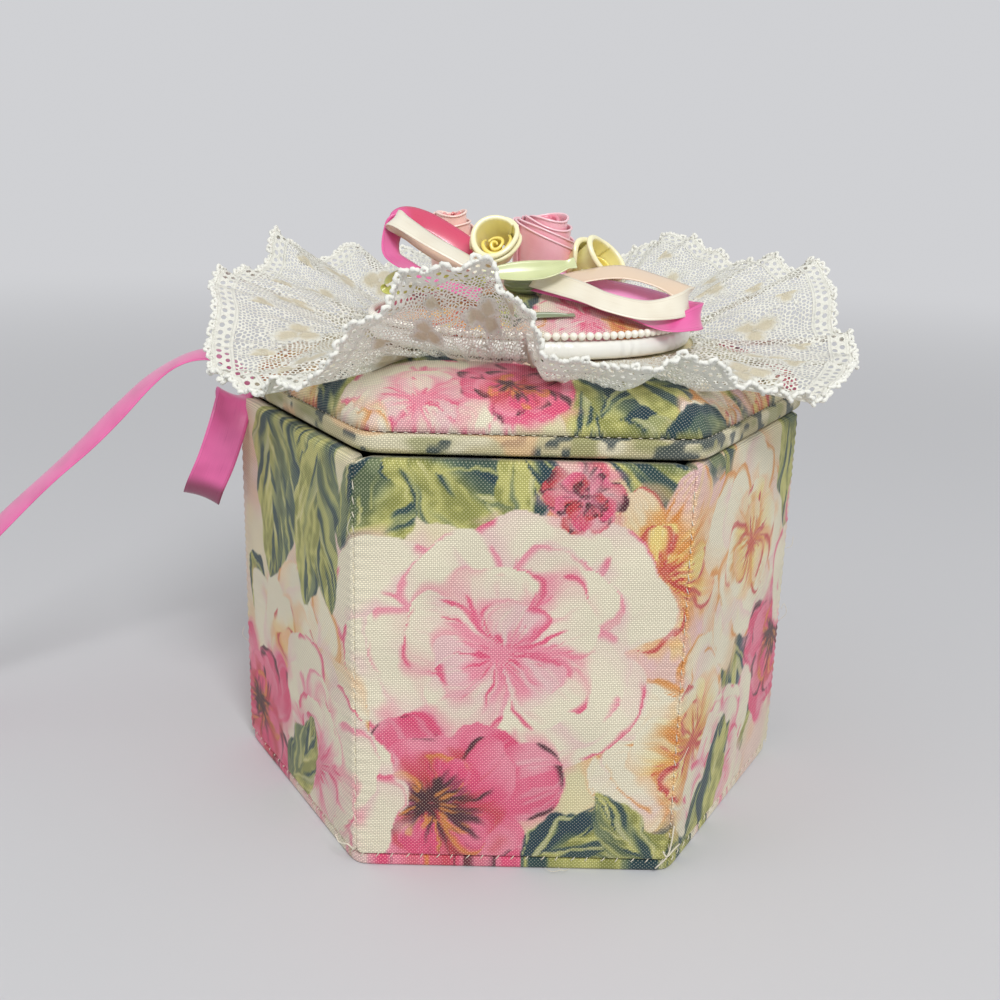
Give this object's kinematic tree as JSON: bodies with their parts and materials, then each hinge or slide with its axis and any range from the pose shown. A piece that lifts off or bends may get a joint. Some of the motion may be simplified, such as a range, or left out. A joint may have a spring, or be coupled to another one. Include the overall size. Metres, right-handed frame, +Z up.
{
  "type": "fabric jewelry box",
  "caption": "Hexagonal fabric-covered jewelry box with a padded hinged lid, lace ruffle, pearl-edged medallion, satin bow and ribbon roses.",
  "frame": {"origin": "centre of the base's underside, on the surface the box stands on", "axes": "+Z up, -Y towards the front panel (the side away from the hinge), +X to the right seen from the front"},
  "size_m": [0.3113, 0.1547, 0.154],
  "materials": {
    "printed_cotton": "matte printed cotton, cream ground with pink, magenta, orange and olive flowers",
    "cardboard": "plain grey-brown board",
    "lining_cotton": "plain cream cotton",
    "wadding": "soft white wadding",
    "thread": "cream sewing thread",
    "lace": "ivory net lace with a picot edge",
    "white_satin": "white satin, soft sheen",
    "pearl": "pearly cream",
    "pink_satin": "pink satin with a sheen",
    "cream_satin": "cream satin with a sheen",
    "yellow_satin": "pale yellow satin with a sheen",
    "rose_satin": "rose pink satin with a sheen",
    "peach_satin": "peach satin with a sheen",
    "sage_satin": "sage green satin with a sheen",
    "green_satin": "dark green satin"
  },
  "bodies": {
    "box": {"side_cover_front": "printed_cotton", "side_cover_front_right": "printed_cotton", "side_cover_back_right": "printed_cotton", "side_cover_back": "printed_cotton", "side_cover_back_left": "printed_cotton", "side_cover_front_left": "printed_cotton", "base_cover": "printed_cotton", "side_board_front": "cardboard", "side_board_front_right": "cardboard", "side_board_back_right": "cardboard", "side_board_back": "cardboard", "side_board_back_left": "cardboard", "side_board_front_left": "cardboard", "base_board": "cardboard", "side_lining_front": "lining_cotton", "side_lining_front_right": "lining_cotton", "side_lining_back_right": "lining_cotton", "side_lining_back": "lining_cotton", "side_lining_back_left": "lining_cotton", "side_lining_front_left": "lining_cotton", "base_lining_pad": "lining_cotton", "hinge_seam": "thread", "side_ribbon_knot": "pink_satin", "side_ribbon_loop": "pink_satin", "side_ribbon_tail": "pink_satin"},
    "lid": {"lid_band_cover": "printed_cotton", "lid_board": "cardboard", "lid_wadding": "wadding", "lid_top_cover": "printed_cotton", "lid_lining": "lining_cotton", "lace_ruffle": "lace", "lace_heading": "white_satin", "medallion_board": "cardboard", "medallion_cover": "printed_cotton", "pearl_trim": "pearl", "bow_knot": "green_satin", "bow_loop_cream_left": "cream_satin", "bow_loop_pink_left": "pink_satin", "bow_loop_cream_right": "cream_satin", "bow_loop_pink_right": "pink_satin", "rose_pink": "rose_satin", "rose_peach": "peach_satin", "rose_yellow_left": "yellow_satin", "rose_yellow_right": "yellow_satin", "leaf_sage": "sage_satin", "leaf_small": "sage_satin", "leaf_dark": "green_satin"}
  },
  "joints": [
    {"name": "lid_hinge", "type": "hinge", "parent": "box", "child": "lid", "pos_m": [0, 0.06679, 0.1014], "axis": [-1, 0, 0], "range_deg": [0, 105]}
  ]
}
